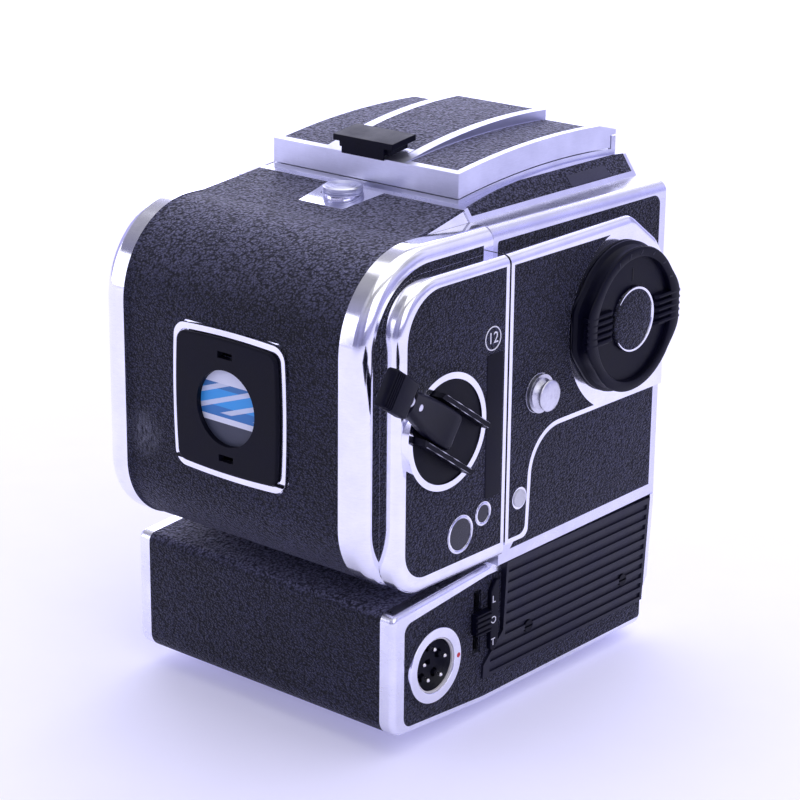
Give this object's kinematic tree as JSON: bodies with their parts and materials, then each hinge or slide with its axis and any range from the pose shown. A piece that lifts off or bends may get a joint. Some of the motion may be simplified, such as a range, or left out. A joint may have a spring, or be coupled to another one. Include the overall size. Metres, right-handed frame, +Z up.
{
  "type": "medium format film camera",
  "caption": "Square film camera with motor base, roll film magazine with folding crank, round side dial and folding waist-level hood, without lens",
  "frame": {"origin": "axis of the 1/4 inch tripod thread at the resting face of the tripod plate", "axes": "+Z up, -Y towards the lens side, +Y towards the magazine, -X the viewer's right hand side with the dial and crank"},
  "size_m": [0.1177, 0.1363, 0.1537],
  "materials": {
    "black_metal": "matt black paint",
    "black_plastic": "matt black plastic",
    "card": "printed card in blue and white",
    "cast_body": "satin chrome plated casting",
    "cell_wrap": "wrapped cells",
    "chrome_trim": "bright satin chrome on cast metal",
    "clear_glass": "clear",
    "film": "rolled film with backing paper",
    "gear_brass": "machined",
    "leatherette": "black pebbled leatherette",
    "mirror_glass": "front surface mirror",
    "signal_white": "white signal disc",
    "steel": "brushed",
    "steel_sheet": "thin bright sheet"
  },
  "bodies": {
    "camera_body": {"base_casting": "cast_body", "base_leather": "leatherette", "tripod_plate": "steel", "tripod_plate_screws": "steel", "remote_socket_ring": "chrome_trim", "remote_socket_core": "black_plastic", "lock_plate": "black_plastic", "motor": "steel", "body_casting": "cast_body", "body_leather": "leatherette", "front_panel": "cast_body", "right_cover": "cast_body", "left_cover": "cast_body", "strap_studs": "steel", "signal_window": "signal_white", "accessory_rail": "chrome_trim", "mirror_box": "black_metal", "focusing_screen": "clear_glass", "lens_bayonet": "chrome_trim", "hood_frame": "cast_body"},
    "battery_drawer": {"battery_cover": "black_plastic", "battery_cover_screws": "steel", "battery_tray": "black_plastic", "battery_cells": "cell_wrap"},
    "lock_lever": {"lock_lever": "black_plastic"},
    "motor_pinion": {"motor_pinion": "gear_brass"},
    "idler_gear": {"idler_gear": "gear_brass"},
    "lens_drive_shaft": {"lens_drive_shaft": "steel"},
    "release_button_right": {"release_button_right": "chrome_trim"},
    "release_button_left": {"release_button_left": "chrome_trim"},
    "mode_dial": {"mode_dial": "black_plastic"},
    "mirror": {"mirror_carrier": "black_metal", "reflex_mirror": "mirror_glass"},
    "door_upper": {"shutter_door_upper": "black_metal"},
    "door_lower": {"shutter_door_lower": "black_metal"},
    "lens_release": {"lens_release_button": "chrome_trim"},
    "hood_lid": {"hood_lid": "cast_body", "hood_lid_leather": "leatherette"},
    "flap_left": {"hood_flap_left": "black_metal"},
    "flap_right": {"hood_flap_right": "black_metal"},
    "flap_rear": {"hood_flap_rear": "black_metal"},
    "hood_catch": {"hood_catch": "black_plastic"},
    "magnifier": {"magnifier_frame": "black_plastic", "magnifier_lens": "clear_glass"},
    "magazine": {"magazine_shell": "cast_body", "magazine_leather": "leatherette", "magazine_cover": "cast_body", "counter_windows": "clear_glass", "card_frame": "cast_body"},
    "crank_disc": {"crank_disc": "black_plastic"},
    "crank_arm": {"crank_arm": "black_plastic"},
    "crank_knob": {"crank_knob": "black_plastic"},
    "magazine_catch": {"magazine_catch": "chrome_trim"},
    "card_holder": {"card_holder": "black_metal", "film_card": "card"},
    "dark_slide": {"dark_slide": "steel_sheet"},
    "film_insert": {"insert_frame": "black_metal"},
    "insert_key": {"insert_key": "chrome_trim"},
    "takeup_spool": {"takeup_spool": "black_plastic"},
    "supply_spool": {"supply_spool": "film"}
  },
  "joints": [
    {"name": "battery_drawer_slide", "type": "slide", "parent": "camera_body", "child": "battery_drawer", "axis": [-1, 0, 0], "range_m": [0, 0.048]},
    {"name": "lock_slide", "type": "slide", "parent": "camera_body", "child": "lock_lever", "axis": [0, 0, 1], "range_m": [-0.006, 0.006]},
    {"name": "idler_turn", "type": "hinge", "parent": "camera_body", "child": "idler_gear", "pos_m": [0.01485, -0.0296, 0.04214], "axis": [0, 1, 0], "continuous": true},
    {"name": "pinion_turn", "type": "hinge", "parent": "camera_body", "child": "motor_pinion", "pos_m": [0.026, -0.0296, 0.023], "axis": [0, 1, 0], "continuous": true},
    {"name": "lens_shaft_turn", "type": "hinge", "parent": "camera_body", "child": "lens_drive_shaft", "pos_m": [0, -0.0296, 0.0572], "axis": [0, 1, 0], "continuous": true},
    {"name": "release_right_press", "type": "slide", "parent": "camera_body", "child": "release_button_right", "axis": [0, 1, 0], "range_m": [0, 0.0012], "stiffness_N_per_m": 800, "springref_m": -0.001},
    {"name": "release_left_press", "type": "slide", "parent": "camera_body", "child": "release_button_left", "axis": [0, 1, 0], "range_m": [0, 0.0012], "stiffness_N_per_m": 800, "springref_m": -0.001},
    {"name": "dial_turn", "type": "hinge", "parent": "camera_body", "child": "mode_dial", "pos_m": [-0.054, -0.0122, 0.1035], "axis": [1, 0, 0], "range_deg": [-72, 72]},
    {"name": "mirror_lift", "type": "hinge", "parent": "camera_body", "child": "mirror", "pos_m": [0, 0.0295, 0.1235], "axis": [-1, 0, 0], "range_deg": [0, 45]},
    {"name": "door_upper_swing", "type": "hinge", "parent": "camera_body", "child": "door_upper", "pos_m": [0, 0.0325, 0.1202], "axis": [-1, 0, 0], "range_deg": [0, 90]},
    {"name": "door_lower_swing", "type": "hinge", "parent": "camera_body", "child": "door_lower", "pos_m": [0, 0.0325, 0.0656], "axis": [1, 0, 0], "range_deg": [0, 90]},
    {"name": "lens_release_press", "type": "slide", "parent": "camera_body", "child": "lens_release", "axis": [0, 1, 0], "range_m": [0, 0.002], "stiffness_N_per_m": 500, "springref_m": -0.001},
    {"name": "lid_open", "type": "hinge", "parent": "camera_body", "child": "hood_lid", "pos_m": [0, -0.0344, 0.1459], "axis": [1, 0, 0], "range_deg": [0, 90]},
    {"name": "flap_left_rise", "type": "hinge", "parent": "camera_body", "child": "flap_left", "pos_m": [0.031, 0, 0.1446], "axis": [0, 1, 0], "range_deg": [0, 90]},
    {"name": "flap_right_rise", "type": "hinge", "parent": "camera_body", "child": "flap_right", "pos_m": [-0.031, 0, 0.1446], "axis": [0, -1, 0], "range_deg": [0, 90]},
    {"name": "flap_rear_rise", "type": "hinge", "parent": "camera_body", "child": "flap_rear", "pos_m": [0, 0.0324, 0.1446], "axis": [-1, 0, 0], "range_deg": [0, 90]},
    {"name": "hood_catch_slide", "type": "slide", "parent": "hood_lid", "child": "hood_catch", "axis": [0, 1, 0], "range_m": [0, 0.0025], "stiffness_N_per_m": 300, "springref_m": -0.001},
    {"name": "magnifier_level", "type": "hinge", "parent": "hood_lid", "child": "magnifier", "pos_m": [0, -0.005, 0.1466], "axis": [-1, 0, 0], "range_deg": [0, 90]},
    {"name": "magazine_draw", "type": "slide", "parent": "camera_body", "child": "magazine", "axis": [0, 1, 0], "range_m": [0, 0.014]},
    {"name": "crank_turn", "type": "hinge", "parent": "magazine", "child": "crank_disc", "pos_m": [-0.054, 0.063, 0.0898], "axis": [1, 0, 0], "continuous": true},
    {"name": "crank_fold", "type": "hinge", "parent": "crank_disc", "child": "crank_arm", "pos_m": [-0.05605, 0.06549, 0.09148], "axis": [0, -0.5592, 0.829], "range_deg": [0, 100]},
    {"name": "knob_turn", "type": "hinge", "parent": "crank_arm", "child": "crank_knob", "pos_m": [-0.05945, 0.08456, 0.10434], "axis": [0, 0.829, 0.5592], "continuous": true},
    {"name": "catch_slide", "type": "slide", "parent": "magazine", "child": "magazine_catch", "axis": [1, 0, 0], "range_m": [0, 0.004], "stiffness_N_per_m": 300, "springref_m": -0.001},
    {"name": "card_holder_open", "type": "hinge", "parent": "magazine", "child": "card_holder", "pos_m": [0, 0.0864, 0.0727], "axis": [-1, 0, 0], "range_deg": [0, 75]},
    {"name": "dark_slide_draw", "type": "slide", "parent": "magazine", "child": "dark_slide", "axis": [1, 0, 0], "range_m": [0, 0.072]},
    {"name": "insert_draw", "type": "slide", "parent": "magazine", "child": "film_insert", "axis": [1, 0, 0], "range_m": [0, 0.09]},
    {"name": "key_turn", "type": "hinge", "parent": "film_insert", "child": "insert_key", "pos_m": [0.046, 0.06, 0.092], "axis": [1, 0, 0], "range_deg": [0, 90]},
    {"name": "takeup_turn", "type": "hinge", "parent": "film_insert", "child": "takeup_spool", "pos_m": [0, 0.064, 0.117], "axis": [1, 0, 0], "continuous": true},
    {"name": "supply_turn", "type": "hinge", "parent": "film_insert", "child": "supply_spool", "pos_m": [0, 0.064, 0.0624], "axis": [1, 0, 0], "continuous": true}
  ],
  "couplings": [
    {"joint": "pinion_turn", "follows": "idler_turn", "ratio": -2.6667},
    {"joint": "lens_shaft_turn", "follows": "idler_turn", "ratio": -3.2},
    {"joint": "door_upper_swing", "follows": "mirror_lift", "ratio": 2},
    {"joint": "door_lower_swing", "follows": "mirror_lift", "ratio": 2},
    {"joint": "flap_left_rise", "follows": "lid_open", "ratio": 1},
    {"joint": "flap_right_rise", "follows": "lid_open", "ratio": 1},
    {"joint": "flap_rear_rise", "follows": "lid_open", "ratio": 1},
    {"joint": "magnifier_level", "follows": "lid_open", "ratio": 1},
    {"joint": "takeup_turn", "follows": "crank_turn", "ratio": 1}
  ]
}
